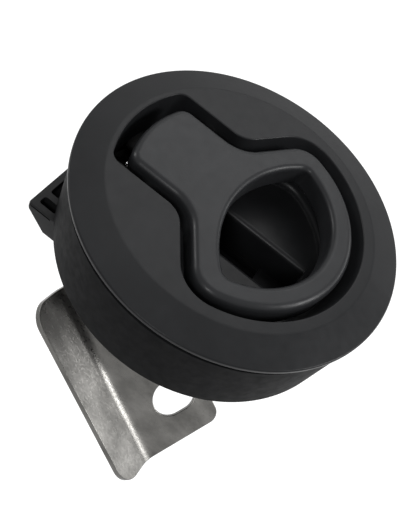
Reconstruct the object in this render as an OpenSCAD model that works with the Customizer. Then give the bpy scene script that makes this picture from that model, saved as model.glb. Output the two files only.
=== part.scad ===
// Flush-pull slam latch in black nylon, with its bent stainless strike plate.
// Origin: centre of the bezel flange's back plane. +Z points out of the door's front,
// +X is the way the bolt points. All lengths are millimetres.

/* [Bezel] */
// Width of the bezel's flange beyond the barrel
flange_w = 4; // [3.8:0.1:8]
// Width of the bezel's flat face beside the well's head
face_w = 2.25; // [1.8:0.05:4]
// Height of the flat face above the door
face_h = 2.3; // [1.8:0.1:3]
// Height of the bezel's upright edge
rim_h = 0.7; // [0.4:0.1:1.2]
// Rounding of the bezel's rim
rim_r = 0.35; // [0.2:0.05:0.4]

/* [Keyhole well] */
// Wall between the well's round head and the barrel's outside
well_wall = 4.15; // [3.5:0.05:5]
// How far the end of the well's stem reaches past the round head
stem_step = 1.35; // [0.8:0.05:1.6]
// Width of the well's stem
stem_w = 23.2; // [22.4:0.1:25]
// Distance of the slanted shoulder from the centre
shoulder_dist = 12.92; // [12.4:0.02:13.4]
// Angle that the shoulder's normal makes with the stem
shoulder_a = 34.4; // [32:0.2:37]
// Fillet between the shoulder and the round head
shoulder_r = 7.5; // [6:0.1:9]
// Fillet between the shoulder and the stem
neck_r = 5; // [4:0.1:6]
// Corner radius at the end of the stem
stem_corner_r = 2.5; // [2:0.1:3.5]
// Depth of the well's floor below the flat face
well_depth = 10.8; // [10.6:0.1:12]
// How far the head's wall leans in by the floor
well_lean = 2.6; // [1.5:0.1:3]
// Fillet round the well's floor
well_floor_r = 1.5; // [0.8:0.1:2]
// Rounding of the well's top edge
well_edge_r = 0.3; // [0.2:0.05:0.5]
// Share of the head's lean that the shoulder has
shoulder_lean = 0.8; // [0.6:0.1:1]
// Share of the head's lean that the stem's sides have
stem_lean = 0.1; // [0:0.05:0.2]

/* [Pull handle] */
// Gap between the handle's ring and the well
ring_gap = 2; // [1.6:0.1:2.6]
// Gap between the handle's shoulder and the well
shoulder_gap = 2.2; // [2:0.1:2.8]
// Gap on each side of the handle's stem
stem_gap = 2.5; // [2:0.1:3]
// Gap at the end of the handle's stem
end_gap = 3; // [2.6:0.1:3.6]
// Thickness of the handle's ring
ring_t = 5.5; // [4.5:0.1:6]
// Thickness of the handle's stem plate
stem_t = 3.5; // [3:0.1:4]
// Place where the stem plate turns into the thicker ring
stem_start = 8.6; // [7:0.1:9]
// Corner radius at the end of the handle's stem
handle_corner_r = 2.8; // [2.4:0.1:3.5]
// Rounding of the handle's top edge
handle_edge_r = 1.5; // [1:0.1:1.8]
// Rounding of the handle's under edge
under_edge_r = 0.8; // [0.4:0.1:1]
// Width of the handle's ring round the finger hole
ring_w = 4.55; // [4:0.05:5.5]
// Radius of the finger hole's bulging inner side
hole_bulge_r = 22.95; // [21:0.05:25]
// Reach of the finger hole's inner side from the centre
hole_reach = 2; // [1:0.1:3]
// Radius of the finger hole's two points
hole_tip_r = 1.8; // [1.5:0.1:2.5]
// Rounding of the finger hole's top edge
hole_edge_r = 1.2; // [0.8:0.1:1.5]

/* [Hinge] */
// Diameter of the hinge pin
pin_d = 3; // [2.5:0.1:3.4]
// Distance of the hinge pin from the end of the well's stem
pin_inset = 9.7; // [9.2:0.1:10]
// Depth of the hinge pin below the door's face
pin_depth = 4.5; // [4.3:0.1:4.7]
// Length of barrel left beyond each end of the hinge pin
pin_cover = 2.8; // [1.8:0.1:4.3]
// Diameter of the hub that turns on the pin
hub_d = 6.8; // [6.2:0.1:7]
// Width of the hub
hub_w = 14; // [13:0.1:14.4]
// Thickness of the web between the hub and the stem plate
hub_web = 5.4; // [4.8:0.1:5.8]
// Thickness of the leg that works the bolt
leg_t = 3.6; // [3:0.1:4]
// Width of the leg
leg_w = 7.8; // [6:0.1:8]
// Distance of the leg's foot from the bolt's back face
foot_lift = 0.35; // [0.1:0.05:0.5]

/* [Barrel] */
// Diameter of the barrel that goes through the door
barrel_d = 56; // [55.4:0.1:56.4]
// Depth of the barrel behind the flange
barrel_l = 16.8; // [16.4:0.1:17.4]
// Wall of the moulded barrel and its floor
wall = 2; // [1.6:0.1:2.4]
// Wall of the leg's channel
channel_wall = 1.8; // [1.4:0.1:2.2]
// Distance of the channel's closed end from the rim of the well's floor
channel_end = 2.75; // [1.75:0.25:4.75]
// Thickness of the floor under the channel's closed end
channel_floor = 0.8; // [0.6:0.1:1.8]
// Width of the window in front of the leg
window_w = 14; // [14:0.5:18]
// Chamfer of small broken edges
break_edge = 0.3; // [0.2:0.05:0.4]

/* [Gasket and mounting ring] */
// Thickness of the gasket
gasket_t = 0.8; // [0.5:0.1:1.5]
// Width of the gasket beyond the barrel
gasket_w = 2.75; // [2:0.05:3]
// Width of the mounting ring beyond the barrel, beside the gasket
ring_front_w = 3.6; // [3:0.05:4]
// Width of the mounting ring beyond the barrel, at its back
ring_back_w = 3.2; // [2.5:0.05:3.5]
// Length of the mounting ring
ring_l = 14.1; // [12:0.1:15]
// Chamfer on the mounting ring's front edge
ring_chamfer = 0.5; // [0.3:0.1:0.8]

/* [Bolt] */
// Reach of the bolt's tip from the centre
bolt_reach = 32.2; // [31.6:0.1:33]
// Solid length between the bolt's slot and its tip
tip_l = 3.9; // [3.6:0.1:5]
// Distance of the bolt's sides inside the barrel's outside
bolt_side = 11.2; // [11:0.1:12]
// Thickness of the bolt
bolt_t = 5.8; // [5.6:0.1:6.4]
// Thickness of the bolt's tip
tip_t = 1.6; // [1.4:0.1:2]
// Length of the bolt's slanted back
wedge_l = 4.6; // [4:0.1:5]
// Distance of the bolt's rear face behind the centre
bolt_rear = 8; // [7:0.1:9]
// Chamfer of the bolt's rear corners
bolt_corner = 4.2; // [3.5:0.1:5]
// Length of the tongue behind the bolt's rear face
tongue_l = 4; // [3:0.1:4.2]
// Width of the tongue's sides beside its groove
tongue_wall = 1.2; // [1:0.1:1.4]
// Width of the rims left between and round the bolt's pockets
bolt_web = 1.4; // [1:0.1:1.5]
// Length of the pockets in the bolt's front face
pocket_l = 3.9; // [3:0.1:4.2]
// Thickness left under the pockets in the bolt's front face
pocket_floor = 1.2; // [1:0.1:1.4]
// Depth of the bolt's groove behind its slot
trough_depth = 1.8; // [1:0.1:2.4]
// Half width of the middle pocket
pocket_mid = 3.7; // [3.4:0.1:3.9]
// Width of the two outer pockets
pocket_side = 1.9; // [1.6:0.1:2.4]
// Corner radius of the pockets
pocket_r = 0.6; // [0.3:0.1:0.8]
// Depth of the fine groove round the bolt's tip, below its front face
groove_t = 0.35; // [0.2:0.05:0.5]
// Width of the fine groove
groove_w = 0.45; // [0.3:0.05:0.6]
// Distance of the fine groove from the bolt's front face
groove_drop = 0.3; // [0.2:0.05:0.5]
// Play between the leg's foot and the bolt
foot_play = 0.5; // [0.4:0.05:0.8]

/* [Back cover] */
// Step from the barrel's outside in to the back cover
cover_step = 1; // [0.8:0.1:1.5]
// How far the back cover's wall leans in by its flat back
cover_lean = 1.5; // [1:0.1:2]
// Thickness of the back cover's floor
cover_t = 2; // [1.6:0.1:2.4]
// Distance of the screws inside the edge of the cover's back
screw_edge = 2.6; // [2.5:0.1:3]
// Distance of the screws from the bolt's slide
screw_side = 2.6; // [2.4:0.1:3]
// Diameter of the screws
screw_d = 2.4; // [2:0.1:2.8]
// Diameter of the screw heads
screw_head_d = 4.4; // [4:0.1:4.6]
// Length of the screws
screw_l = 14; // [11:0.5:14]

/* [Springs] */
// Wire of the handle springs
coil_wire = 0.7; // [0.6:0.05:0.75]
// Turns of each handle spring
coil_turns = 4; // [3:1:4]
// Play between the handle springs and the pin
coil_play = 0.35; // [0.2:0.05:0.5]
// Space between the turns of the handle springs
coil_space = 0.07; // [0.05:0.01:0.1]
// Length of each handle spring's leg under the stem
coil_leg = 5.5; // [4:0.1:5.8]
// Outer diameter of the bolt springs
spring_d = 4; // [3.6:0.1:4.2]
// Wire of the bolt springs
spring_wire = 0.6; // [0.4:0.05:0.7]
// Turns of each bolt spring
spring_turns = 7; // [5:1:7]
// Distance of each bolt spring from the bolt's tongue
spring_side = 2.4; // [0.6:0.1:2.8]
// Depth of the bolt's bores for the springs
spring_bore = 3; // [2:0.1:4]

/* [Strike plate] */
// Length of the strike plate along its bend
strike_l = 42.5; // [38:0.5:46]
// Width of the strike's flat plate
strike_w = 18.6; // [17.6:0.1:19]
// Width of the strike's bent lip
lip_w = 9.3; // [7:0.1:10]
// Angle of the lip
lip_a = 45; // [30:1:60]
// Thickness of the sheet
sheet_t = 1.2; // [1:0.1:1.5]
// Inside radius of the bend
bend_r = 2; // [1:0.1:3]
// Corner radius of the flat plate
strike_corner_r = 2.5; // [1:0.1:4]
// Corner radius of the lip
lip_corner_r = 4.5; // [2:0.1:5]
// Width of the two slots
slot_w = 7.8; // [5:0.1:8]
// Distance of each slot's middle from the plate's end
slot_end = 9.8; // [8:0.1:12]
// Distance of each slot's near round end from the bend
slot_near = 10.4; // [9:0.1:11]
// Straight length of each slot
slot_l = 2; // [1:0.1:2.4]
// Where the strike's bend begins, seen from the middle of the cover's back
strike_at = [19.2, 18.8, -7.3];
// How the strike is turned against the lock
strike_turn = [23, 29, 167.3];

/* [Clearances] */
// Gap round the pin in the handle's hub
pin_gap = 0.04; // [0.02:0.01:0.08]
// Gap round the pin in the housing
press_gap = 0.01; // [0.01:0.005:0.02]
// Gap beside the leg in its channel and in the bolt's slot
leg_gap = 0.5; // [0.3:0.05:0.7]
// Gap round the bolt
slide_gap = 0.25; // [0.2:0.05:0.3]
// Gap between the barrel and the ring that screws onto it
thread_gap = 0.2; // [0.1:0.05:0.3]
// Gap round springs and screws
wire_gap = 0.1; // [0.05:0.05:0.15]

/* [Hidden] */
fine = 128;
small = 48;
cut = 1;

black = [0.13, 0.13, 0.14];
charcoal = [0.22, 0.23, 0.24];
rubber = [0.06, 0.06, 0.06];
steel = [0.62, 0.62, 0.61];

// Sizes that follow the barrel
bezel_d = barrel_d + 2 * flange_w;
well_d = barrel_d - 2 * well_wall;
face_d = well_d + 2 * face_w;
stem_reach = well_d / 2 + stem_step;
hole_r = well_d / 2 - ring_gap - ring_w;
cover_d = barrel_d - 2 * cover_step;
cover_back_d = cover_d - 2 * cover_lean;
bolt_w = barrel_d - 2 * bolt_side;

// Levels and places that several pieces share
floor_z = face_h - well_depth;
pin_x = stem_reach - pin_inset;
pin_z = -pin_depth;
pin_half = sqrt(pow(barrel_d / 2, 2) - pow(pin_x + pin_d / 2, 2)) - pin_cover;
bolt_top = -barrel_l - slide_gap;
bolt_bottom = bolt_top - bolt_t;
foot_z = bolt_bottom + foot_lift + leg_t / 2;
cover_floor = bolt_bottom - slide_gap;
cover_bottom = cover_floor - cover_t;
channel_w = leg_w + 2 * leg_gap;
channel_front = pin_x + leg_t / 2 + leg_gap;
channel_back = well_d / 2 - well_lean - well_floor_r - channel_end;
channel_open = bolt_rear + tongue_l - wall;
slot_from = pin_x - leg_t / 2 - foot_play;
slot_to = bolt_reach - tip_l;
tongue_half = channel_w / 2 + tongue_wall;
guide = bolt_w / 2 + slide_gap;
cover_inner = cover_back_d / 2 - wall;
spring_y = tongue_half + spring_side + spring_d / 2;
spring_z = bolt_top - bolt_t / 2;
seat_back = sqrt(pow(cover_inner, 2) - pow(spring_y + spring_d / 2, 2));
pocket_to = bolt_reach - bolt_web;
pocket_from = pocket_to - pocket_l;
stem_low = face_h - stem_t;
window_from = channel_front - hub_d;
screw_top = cover_bottom + screw_l;
screw_y = guide + screw_side;
screw_x = sqrt(pow(cover_back_d / 2 - screw_edge, 2) - pow(screw_y, 2));

// Keyhole outlines: head, shoulder and stem sizes, then the three fillets
well_key = [well_d / 2, shoulder_dist, stem_w / 2, stem_reach,
            shoulder_r, neck_r, stem_corner_r];
handle_key = [well_d / 2 - ring_gap, shoulder_dist - shoulder_gap,
              stem_w / 2 - stem_gap, stem_reach - end_gap,
              shoulder_r - ring_gap, neck_r + shoulder_gap, handle_corner_r];

// Unit vector at an angle
function dir(a) = [cos(a), sin(a)];

// Points of an arc about c, from angle a to angle b; a first of 1 leaves out the start
function arc(c, r, a, b, n, first = 0) = [for (i = [first:n]) c + r * dir(a + (b - a) * i / n)];

// The same outline d further in
function inset(k, d) = [k[0] - d, k[1] - d, k[2] - d, k[3] - d, k[4] - d, k[5] + d, k[6] - d];

// A keyhole whose head leans in by d, its shoulder and stem by their shares of it
function lean(k, d) = [k[0] - d, k[1] - shoulder_lean * d, k[2] - stem_lean * d, k[3], k[4], k[5], k[6]];

// Centres of the stem's corner, the neck's fillet and the shoulder's fillet
function corner_c(k) = [sqrt(pow(k[3] - k[6], 2) - pow(k[2] - k[6], 2)), k[2] - k[6]];
function neck_c(k) = [(k[1] + k[5] - (k[2] + k[5]) * sin(shoulder_a)) / cos(shoulder_a), k[2] + k[5]];
function shoulder_c(k) = (k[1] - k[4]) * dir(shoulder_a)
    + sqrt(pow(k[0] - k[4], 2) - pow(k[1] - k[4], 2)) * dir(shoulder_a + 90);
function angle_of(p) = atan2(p[1], p[0]);

// Half of a keyhole outline, from the stem's end round to the back of the head
function key_half(k) = concat(
    arc([0, 0], k[3], 0, angle_of(corner_c(k)), 5),
    arc(corner_c(k), k[6], angle_of(corner_c(k)), 90, 5, 1),
    arc(neck_c(k), k[5], -90, shoulder_a - 180, 6),
    arc(shoulder_c(k), k[4], shoulder_a, angle_of(shoulder_c(k)), 7),
    arc([0, 0], k[0], angle_of(shoulder_c(k)), 180, 15, 1));

// Half of the finger hole's outline, d further in
hole_bulge_x = hole_reach - hole_bulge_r;
hole_tip_x = (pow(hole_r - hole_tip_r, 2) - pow(hole_bulge_r - hole_tip_r, 2) + pow(hole_bulge_x, 2))
    / (2 * hole_bulge_x);
hole_tip = [hole_tip_x, sqrt(pow(hole_r - hole_tip_r, 2) - pow(hole_tip_x, 2))];
function hole_half(d) = concat(
    arc([hole_bulge_x, 0], hole_bulge_r - d, 0, angle_of(hole_tip - [hole_bulge_x, 0]), 9),
    arc(hole_tip, hole_tip_r - d, angle_of(hole_tip - [hole_bulge_x, 0]), angle_of(hole_tip), 6, 1),
    arc([0, 0], hole_r - d, angle_of(hole_tip), 180, 12, 1));

// A whole outline from its half above the X axis
function whole(half) = concat(half, [for (i = [len(half) - 2:-1:1]) [half[i][0], -half[i][1]]]);

// Solid skin over level outlines of equal length, given as [z, outline] from low to high.
// Each outline is its own mirror image about X, so its end face is laid in strips across X.
module skin(levels) {
    n = len(levels[0][1]);
    h = n / 2;
    top = (len(levels) - 1) * n;
    points = [for (level = levels) for (p = level[1]) [p[0], p[1], level[0]]];
    sides = [for (j = [0:len(levels) - 2]) for (i = [0:n - 1])
        [j * n + i, (j + 1) * n + i, (j + 1) * n + (i + 1) % n, j * n + (i + 1) % n]];
    strips = concat([[0, 1, n - 1], [h - 1, h, h + 1]], [for (i = [1:h - 2]) [i, i + 1, n - i - 1, n - i]]);
    lids = [for (s = strips) [for (i = [len(s) - 1:-1:0]) top + s[i]]];
    polyhedron(points, concat(strips, sides, lids), convexity = 6);
}

// Ring of wire round one point of a path, square to the path
function wire_ring(p, t, r, n) =
    let (u = cross(t, abs(t[1]) > 0.9 ? [1, 0, 0] : [0, 1, 0]), v = cross(u / norm(u), t))
    [for (i = [0:n - 1]) p + r * (cos(360 * i / n) * u / norm(u) + sin(360 * i / n) * v / norm(v))];

// Wire of radius r along a path of points
module wire(path, r, n = 6) {
    last = len(path) - 1;
    rings = [for (i = [0:last])
        let (t = path[min(i + 1, last)] - path[max(i - 1, 0)])
        wire_ring(path[i], t / norm(t), r, n)];
    points = [for (ring = rings) for (p = ring) p];
    sides = [for (j = [0:last - 1]) for (i = [0:n - 1])
        [j * n + i, j * n + (i + 1) % n, (j + 1) * n + (i + 1) % n, (j + 1) * n + i]];
    start = [[for (i = [n - 1:-1:0]) i]];
    end = [[for (i = [0:n - 1]) last * n + i]];
    polyhedron(points, concat(start, sides, end), convexity = 8);
}

// Box given by its lowest and highest corners
module block(low, high) {
    translate(low)
        cube(high - low);
}

// Cylinder along Y between two places
module bar_y(x, z, r, y0, y1) {
    translate([x, y0, z])
        rotate([-90, 0, 0])
            cylinder(r = r, h = y1 - y0, $fn = small);
}

// Well of the bezel, with a rounded top edge, leaning walls and a filleted floor
module well() {
    floor_arc = [for (a = [0:30:90]) level_low(floor_z, well_floor_r, 1, a)];
    edge_arc = [for (a = [0:45:90]) level_high(face_h, well_edge_r, -1, a)];
    skin(concat(
        [for (e = floor_arc) [e[0], whole(key_half(lean(well_key, well_lean + e[1])))]],
        [for (e = edge_arc) [e[0], whole(key_half(inset(well_key, e[1])))]],
        [[face_h + cut, whole(key_half(inset(well_key, -well_edge_r)))]]));
}

// Section of the bezel and barrel, with the bezel's edges just broken
module housing_section() {
    slope_a = atan2(face_h - rim_h, (bezel_d - face_d) / 2);
    polygon(concat(
        [[0, -barrel_l], [barrel_d / 2 - break_edge, -barrel_l], [barrel_d / 2, break_edge - barrel_l],
         [barrel_d / 2, 0], [bezel_d / 2 - break_edge / 2, 0], [bezel_d / 2, break_edge / 2]],
        arc([bezel_d / 2 - rim_r, rim_h - rim_r * tan(slope_a)], rim_r, 0, 90 - slope_a, 4),
        [[face_d / 2, face_h], [0, face_h]]));
}

// Spaces moulded into the back of the barrel, behind the well
module back_pockets() {
    top = floor_z - wall;
    low = -barrel_l - cut;
    keep = channel_w / 2 + channel_wall;
    window_keep = window_w / 2 + channel_wall;
    difference() {
        translate([0, 0, low])
            cylinder(r = barrel_d / 2 - wall, h = top - low, $fn = fine);
        block([-barrel_d, -keep, low - cut], [barrel_d, keep, top + cut]);
        block([window_from, -window_keep, low - cut], [barrel_d, window_keep, top + cut]);
        at_screws(low - cut)
            cylinder(r = screw_d / 2 + wall, h = top - low + 2 * cut, $fn = small);
    }
}

// What follows, at each of the four screws
module at_screws(z) {
    for (x = [-screw_x, screw_x], y = [-screw_y, screw_y])
        translate([x, y, z])
            children();
}

// Moulded bezel, well and barrel
module housing() {
    color(charcoal)
    difference() {
        rotate_extrude($fn = fine)
            housing_section();
        well();
        // The leg's channel: closed behind, open to the bolt in front, where it widens to a window
        block([-channel_back, -channel_w / 2, channel_floor - barrel_l],
              [0, channel_w / 2, floor_z + wall]);
        translate([0, 0, -barrel_l - cut])
            linear_extrude(floor_z + wall + barrel_l + cut)
                polygon([[-channel_open, -channel_w / 2], [channel_front, -channel_w / 2],
                         [channel_front, -window_w / 2], [barrel_d / 2 + cut, -window_w / 2],
                         [barrel_d / 2 + cut, window_w / 2], [channel_front, window_w / 2],
                         [channel_front, channel_w / 2], [-channel_open, channel_w / 2]]);
        back_pockets();
        // Bore of the hinge pin, open on one side under the mounting ring
        bar_y(pin_x, pin_z, pin_d / 2 + press_gap, -pin_half, barrel_d / 2);
        at_screws(-barrel_l - cut)
            cylinder(r = screw_d / 2 + wire_gap, h = screw_top + barrel_l + cut + wire_gap, $fn = small);
    }
}

// Flat seal between the flange and the door
module gasket() {
    color(rubber)
    translate([0, 0, -gasket_t])
        difference() {
            cylinder(r = barrel_d / 2 + gasket_w, h = gasket_t, $fn = fine);
            translate([0, 0, -cut])
                cylinder(r = barrel_d / 2 + wire_gap, h = gasket_t + 2 * cut, $fn = fine);
        }
}

// Ring that screws onto the barrel and clamps the door
module mounting_ring() {
    inner = barrel_d / 2 + thread_gap;
    front = barrel_d / 2 + ring_front_w;
    back = barrel_d / 2 + ring_back_w;
    color(charcoal)
    translate([0, 0, -gasket_t])
        rotate_extrude($fn = fine)
            polygon([[inner, 0], [front - ring_chamfer, 0], [front, -ring_chamfer],
                     [back, break_edge - ring_l], [back - break_edge, -ring_l], [inner, -ring_l]]);
}

// Levels of a rounded upright edge, from a low arc to a high one, about an outline
function level_low(z, r, d, a) = [z + r - r * cos(a), d * (r - r * sin(a))];
function level_high(z, r, d, a) = [z - r + r * sin(a), d * (r - r * cos(a))];

// Handle plate: rounded edges, thinner at the stem, with the finger hole through it
module handle_plate() {
    low = face_h - ring_t;
    edges = concat([for (a = [0:30:90]) level_low(low, under_edge_r, 1, a)],
                   [for (a = [0:15:90]) level_high(face_h, handle_edge_r, 1, a)]);
    difference() {
        skin([for (e = edges) [e[0], whole(key_half(inset(handle_key, e[1])))]]);
        block([stem_start, -well_d / 2, low - cut], [stem_reach, well_d / 2, stem_low]);
        finger_hole();
    }
}

// Finger hole through the ring, its edges rounded
module finger_hole() {
    low = face_h - ring_t;
    edges = concat([[low - cut, -under_edge_r]],
                   [for (a = [0:30:90]) level_low(low, under_edge_r, -1, a)],
                   [for (a = [0:15:90]) level_high(face_h, hole_edge_r, -1, a)],
                   [[face_h + cut, -hole_edge_r]]);
    skin([for (e = edges) [e[0], whole(hole_half(e[1]))]]);
}

// Pull handle in one moulding with its hub and the leg that draws the bolt
module pull_handle() {
    color(charcoal)
    difference() {
        union() {
            handle_plate();
            bar_y(pin_x, pin_z, hub_d / 2, -hub_w / 2, hub_w / 2);
            block([pin_x - hub_web / 2, -hub_w / 2, pin_z],
                  [pin_x + hub_web / 2, hub_w / 2, stem_low + stem_t / 2]);
            block([pin_x - leg_t / 2, -leg_w / 2, foot_z], [pin_x + leg_t / 2, leg_w / 2, pin_z]);
            bar_y(pin_x, foot_z, leg_t / 2, -leg_w / 2, leg_w / 2);
        }
        bar_y(pin_x, pin_z, pin_d / 2 + pin_gap, -hub_w / 2 - cut, hub_w / 2 + cut);
    }
}

// Hinge pin with chamfered ends
module handle_pin() {
    r = pin_d / 2;
    chamfer = pin_half - break_edge;
    color(steel)
    translate([pin_x, 0, pin_z])
        rotate([90, 0, 0])
            rotate_extrude($fn = small)
                polygon([[0, -pin_half], [r - break_edge, -pin_half], [r, -chamfer],
                         [r, chamfer], [r - break_edge, pin_half], [0, pin_half]]);
}

// Handle spring: coils beside the hub, one leg under the stem, one on the well's floor
module handle_spring() {
    r = pin_d / 2 + coil_play + coil_wire / 2;
    pitch = coil_wire + coil_space;
    y0 = hub_w / 2 + wire_gap + coil_wire / 2;
    steps = 14;
    off = 45;
    total = coil_turns * 360 + off;
    coil = [for (i = [0:coil_turns * steps + 2])
        let (a = min(i * 360 / steps, total))
        [pin_x + r * cos(90 + a), y0 + pitch * a / 360, pin_z + r * sin(90 + a)]];
    y1 = y0 + pitch * total / 360;
    out = coil[len(coil) - 1];
    rest_z = floor_z + coil_wire / 2 + wire_gap;
    drop = out[2] - rest_z;
    under = [pin_x + coil_leg, y0, stem_low - coil_wire / 2 - wire_gap];
    wire(concat([under], coil, [[out[0] - drop, y1, rest_z], [out[0] - drop - 2 * coil_wire, y1, rest_z]]),
         coil_wire / 2);
}

// Handle spring on the left, looking along the bolt
module handle_spring_left() {
    color(steel)
        handle_spring();
}

// Handle spring on the right
module handle_spring_right() {
    color(steel)
    mirror([0, 1, 0])
        handle_spring();
}

// Upright recess with rounded corners
module recess(low, high, r) {
    block([low[0] + r, low[1], low[2]], [high[0] - r, high[1], high[2]]);
    block([low[0], low[1] + r, low[2]], [high[0], high[1] - r, high[2]]);
    for (x = [low[0] + r, high[0] - r], y = [low[1] + r, high[1] - r])
        translate([x, y, low[2]])
            cylinder(r = r, h = high[2] - low[2], $fn = 24);
}

// Row of pockets in the bolt's front face, their floors in line with its slanted back
module bolt_pockets() {
    edge = bolt_w / 2 - bolt_web;
    wide_from = pocket_mid + bolt_web;
    wide_to = edge - pocket_side - bolt_web;
    low = bolt_bottom + pocket_floor;
    high = bolt_top + cut;
    intersection() {
        translate([0, bolt_w / 2, 0])
            rotate([90, 0, 0])
                linear_extrude(bolt_w)
                    polygon([[pocket_from - cut, low], [bolt_reach - wedge_l, low],
                             [bolt_reach, bolt_top - tip_t + pocket_floor], [bolt_reach, high],
                             [pocket_from - cut, high]]);
        union() {
            recess([pocket_from, -pocket_mid, low - cut], [pocket_to, pocket_mid, high], pocket_r);
            for (s = [0, 1])
                mirror([0, s, 0]) {
                    recess([pocket_from, wide_from, low - cut], [pocket_to, wide_to, high], pocket_r);
                    recess([pocket_from, wide_to + bolt_web, low - cut], [pocket_to, edge, high], pocket_r);
                }
        }
    }
}

// Outline of the bolt from above, with a tongue behind it that keeps the leg's channel closed
module bolt_outline() {
    half = bolt_w / 2;
    tip_r = 0.6;
    side = [[-bolt_rear - tongue_l, tongue_half], [-bolt_rear, tongue_half],
            [-bolt_rear, half - bolt_corner], [bolt_corner - bolt_rear, half],
            [bolt_reach - tip_r, half], [bolt_reach, half - tip_r]];
    polygon(concat(side, [for (i = [len(side) - 1:-1:0]) [side[i][0], -side[i][1]]]));
}

// Sliding bolt, slanted behind its tip, with a slot for the leg's foot and a groove behind it
module bolt() {
    half = bolt_w / 2;
    rear = bolt_rear + tongue_l;
    color(charcoal)
    difference() {
        intersection() {
            translate([0, 0, bolt_bottom])
                linear_extrude(bolt_t)
                    bolt_outline();
            translate([0, half + cut, 0])
                rotate([90, 0, 0])
                    linear_extrude(bolt_w + 2 * cut)
                        polygon([[-rear, bolt_bottom], [bolt_reach - wedge_l, bolt_bottom],
                                 [bolt_reach, bolt_top - tip_t], [bolt_reach, bolt_top],
                                 [-rear, bolt_top]]);
        }
        block([slot_from, -channel_w / 2, bolt_bottom - cut], [slot_to, channel_w / 2, bolt_top + cut]);
        block([-rear - cut, -channel_w / 2, bolt_top - trough_depth],
              [slot_from + cut, channel_w / 2, bolt_top + cut]);
        bolt_pockets();
        // Fine groove round the tip, just below the front face
        translate([0, 0, bolt_top - groove_drop - groove_w])
            linear_extrude(groove_w)
                difference() {
                    translate([pocket_from, -half - cut])
                        square([bolt_reach, bolt_w + 2 * cut]);
                    offset(delta = -groove_t)
                        bolt_outline();
                }
        for (y = [-spring_y, spring_y])
            translate([-bolt_rear - cut, y, spring_z])
                rotate([0, 90, 0])
                    cylinder(r = spring_d / 2 + wire_gap, h = spring_bore + cut, $fn = small);
    }
}

// Bolt spring: closed end turns, seated in the bolt's bore and on the cover's rear wall
module bolt_spring() {
    from = spring_wire / 2 + wire_gap - seat_back;
    length = seat_back - bolt_rear + spring_bore - spring_wire - 2 * wire_gap;
    r = (spring_d - spring_wire) / 2;
    steps = 12;
    open_pitch = (length - 2 * spring_wire) / (spring_turns - 2);
    wire([for (i = [0:spring_turns * steps])
        let (t = i / steps, a = 360 * t,
             x = t < 1 ? spring_wire * t
                 : t > spring_turns - 1 ? length - spring_wire * (spring_turns - t)
                 : spring_wire + (t - 1) * open_pitch)
        [from + x, r * cos(a), r * sin(a)]], spring_wire / 2);
}

// Bolt spring on the left, looking along the bolt
module bolt_spring_left() {
    color(steel)
    translate([0, spring_y, spring_z])
        bolt_spring();
}

// Bolt spring on the right
module bolt_spring_right() {
    color(steel)
    translate([0, -spring_y, spring_z])
        bolt_spring();
}

// Back cover: slide for the bolt, its rear wall the springs' seat
module back_cover() {
    tongue_way = tongue_half + 2 * slide_gap;
    color(charcoal)
    difference() {
        translate([0, 0, cover_bottom])
            cylinder(d1 = cover_back_d, d2 = cover_d, h = -barrel_l - cover_bottom, $fn = fine);
        // The bolt's slide, with a way for its tongue between the springs' seats
        intersection() {
            union() {
                block([-seat_back, -guide, cover_floor], [barrel_d, guide, cut - barrel_l]);
                block([-barrel_d, -tongue_way, cover_floor], [0, tongue_way, cut - barrel_l]);
            }
            union() {
                translate([0, 0, cover_floor - cut])
                    cylinder(r = cover_inner, h = barrel_l, $fn = fine);
                block([0, -barrel_d, cover_floor - cut], [barrel_d, barrel_d, 2 * cut - barrel_l]);
            }
        }
        // Spaces between the slide's sides and the outer wall
        for (s = [0, 1])
            mirror([0, s, 0])
                intersection() {
                    translate([0, 0, cover_floor])
                        cylinder(r = cover_inner, h = barrel_l, $fn = fine);
                    block([wall + screw_d / 2 - screw_x, guide + wall, cover_floor - cut],
                          [screw_x - screw_d / 2 - wall, barrel_d, cut - barrel_l]);
                }
        at_screws(cover_bottom - cut)
            cylinder(r = screw_d / 2 + wire_gap, h = cover_d, $fn = small);
        at_screws(cover_bottom)
            screw_head(wire_gap);
    }
}

// Countersunk head, with its flat face at the cover's back
module screw_head(gap) {
    slope = (screw_head_d - screw_d) / 2;
    translate([0, 0, -cut * gap])
        cylinder(r1 = screw_head_d / 2 + gap, r2 = screw_d / 2, h = slope + gap, $fn = small);
}

// Four countersunk screws that hold the cover to the barrel
module cover_screws() {
    recess_w = screw_d / 4;
    recess_l = screw_d;
    color(steel)
    at_screws(cover_bottom)
        difference() {
            union() {
                screw_head(0);
                cylinder(d = screw_d, h = screw_top - cover_bottom, $fn = small);
            }
            for (a = [0, 90])
                rotate([0, 0, a])
                    block([-recess_l / 2, -recess_w / 2, -cut], [recess_l / 2, recess_w / 2, recess_w]);
        }
}

// Flat sheet from the bend's tangent line outwards, with two rounded far corners
module sheet(width, r) {
    translate([0, 0, -sheet_t]) {
        block([0, 0, 0], [strike_l, width - r, sheet_t]);
        block([r, 0, 0], [strike_l - r, width, sheet_t]);
        for (x = [r, strike_l - r])
            translate([x, width - r, 0])
                cylinder(r = r, h = sheet_t, $fn = small);
    }
}

// Oval slot through the plate
module strike_slot(x, start) {
    far = start + slot_l;
    translate([0, 0, -sheet_t - cut]) {
        block([x - slot_w / 2, start, 0], [x + slot_w / 2, far, sheet_t + 2 * cut]);
        for (y = [start, far])
            translate([x, y, 0])
                cylinder(d = slot_w, h = sheet_t + 2 * cut, $fn = small);
    }
}

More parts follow.
